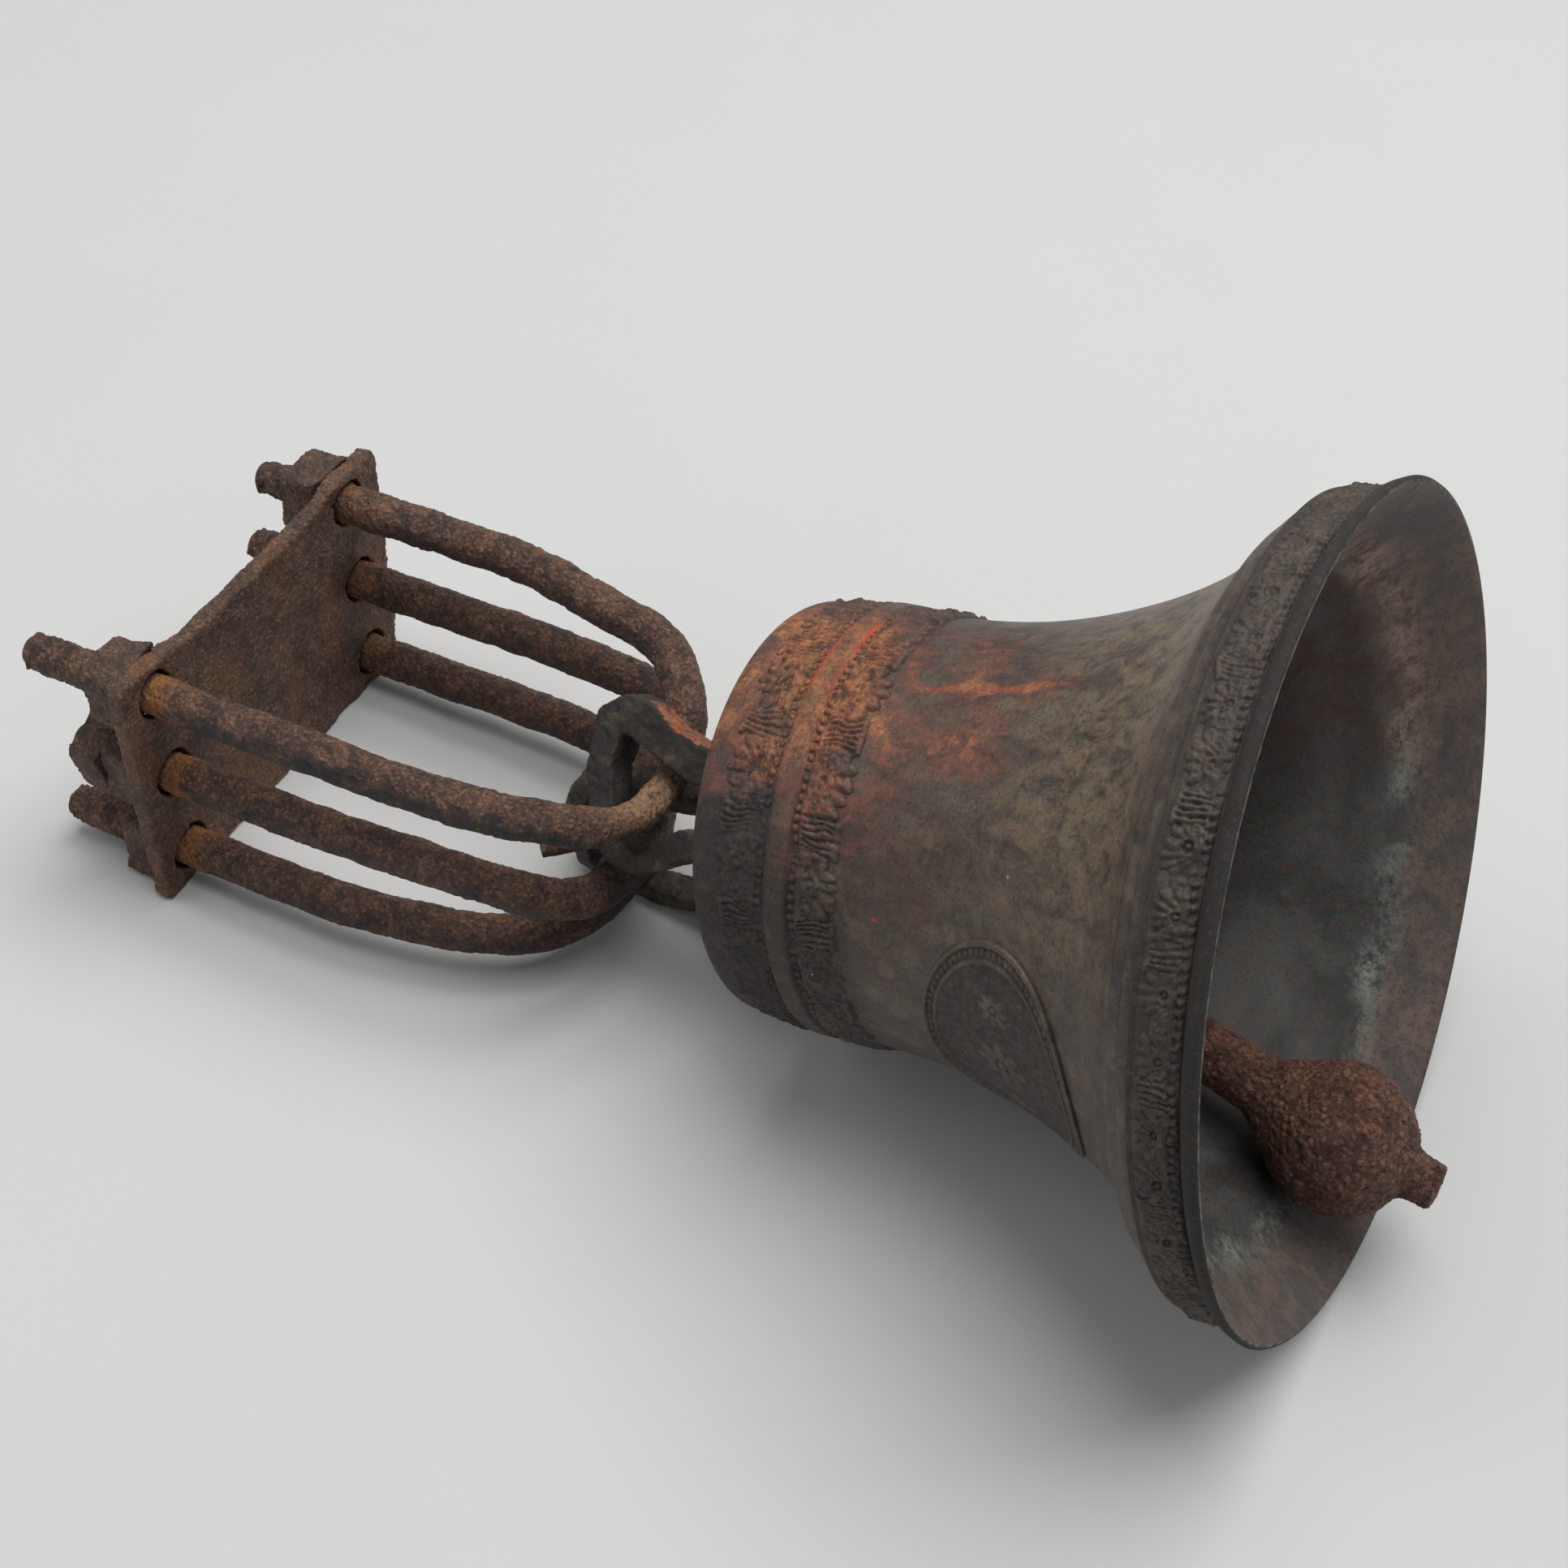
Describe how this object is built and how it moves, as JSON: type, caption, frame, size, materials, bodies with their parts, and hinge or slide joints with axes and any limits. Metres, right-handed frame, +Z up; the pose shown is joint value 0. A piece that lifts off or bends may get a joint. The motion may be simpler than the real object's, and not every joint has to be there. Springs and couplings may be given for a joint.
{
  "type": "cast bell with clapper and hanger",
  "caption": "Antique cast bell lying on its side, with a hinged forged clapper, crown loops and a rusty strap hanger clamped by a keeper plate and square nuts.",
  "frame": {"origin": "on the floor, under the middle of the whole part's box", "axes": "+X horizontal from the hanger toward the bell's mouth, +Y to the far side, +Z up"},
  "size_m": [0.537, 0.28, 0.2727],
  "materials": {
    "bell_bronze": "dark brown-grey patina, rust-stained, worn",
    "crown_bronze": "green-black patina with brassy worn edges",
    "strap_iron": "pitted brown rust",
    "plate_iron": "flaking brown rust",
    "nut_iron": "dark brown rust",
    "clapper_iron": "granular red-brown rust"
  },
  "bodies": {
    "bell": {"bell_body": "bell_bronze", "crown_loop": "crown_bronze", "crown_lower_canon": "crown_bronze", "crown_lug": "crown_bronze", "crown_spike": "nut_iron", "clapper_staple": "clapper_iron"},
    "hanger": {"strap_upper": "strap_iron", "strap_middle": "strap_iron", "strap_lower": "strap_iron", "nut_upper_left": "nut_iron", "nut_upper_right": "nut_iron", "nut_middle_left": "nut_iron", "nut_middle_right": "nut_iron", "nut_lower_left": "nut_iron", "nut_lower_right": "nut_iron", "lock_nut": "nut_iron"},
    "plate": {"keeper_plate": "plate_iron"},
    "clapper": {"clapper": "clapper_iron"}
  },
  "joints": [
    {"name": "hanger_rock", "type": "hinge", "parent": "bell", "child": "hanger", "pos_m": [-0.03045, 0, 0.074], "axis": [0, 1, 0], "range_deg": [0, 4]},
    {"name": "plate_slide", "type": "slide", "parent": "hanger", "child": "plate", "axis": [0.9993, 0, 0.0377], "range_m": [0, 0.045]},
    {"name": "clapper_swing", "type": "hinge", "parent": "bell", "child": "clapper", "pos_m": [0.04052, 0, 0.09552], "axis": [-0.0315, -0.9903, 0.1356], "range_deg": [0, 55.9]}
  ]
}
